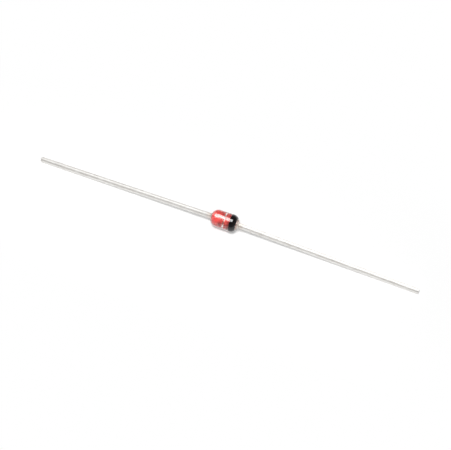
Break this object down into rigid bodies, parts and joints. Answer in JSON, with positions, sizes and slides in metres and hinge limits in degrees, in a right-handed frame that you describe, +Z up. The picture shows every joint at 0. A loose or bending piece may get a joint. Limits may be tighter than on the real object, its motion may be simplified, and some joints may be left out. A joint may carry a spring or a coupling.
{
  "type": "zener diode",
  "caption": "Axial glass diode that holds a steady reverse voltage: rounded glass body fused on red copper-clad plugs around a silicon chip, long tinned wire leads and a black cathode band.",
  "frame": {"origin": "on the surface that the part lies on, under the middle of the body", "axes": "+X along the body towards the banded cathode end, +Z up"},
  "size_m": [0.0626, 0.0028, 0.0027],
  "materials": {
    "clear_glass": "fire-polished, clear",
    "copper_clad": "red oxide on copper, satin",
    "silicon": "sawn edges, dark grey",
    "silver": "plated, satin",
    "tinned_wire": "bright tin on drawn wire",
    "black_paint": "gloss paint"
  },
  "bodies": {
    "root": {"glass_sleeve": "clear_glass", "anode_plug": "copper_clad", "cathode_plug": "copper_clad", "silicon_chip": "silicon", "anode_bump": "silver", "cathode_pad": "silver", "anode_lead": "tinned_wire", "cathode_lead": "tinned_wire", "cathode_band": "black_paint"}
  },
  "joints": []
}
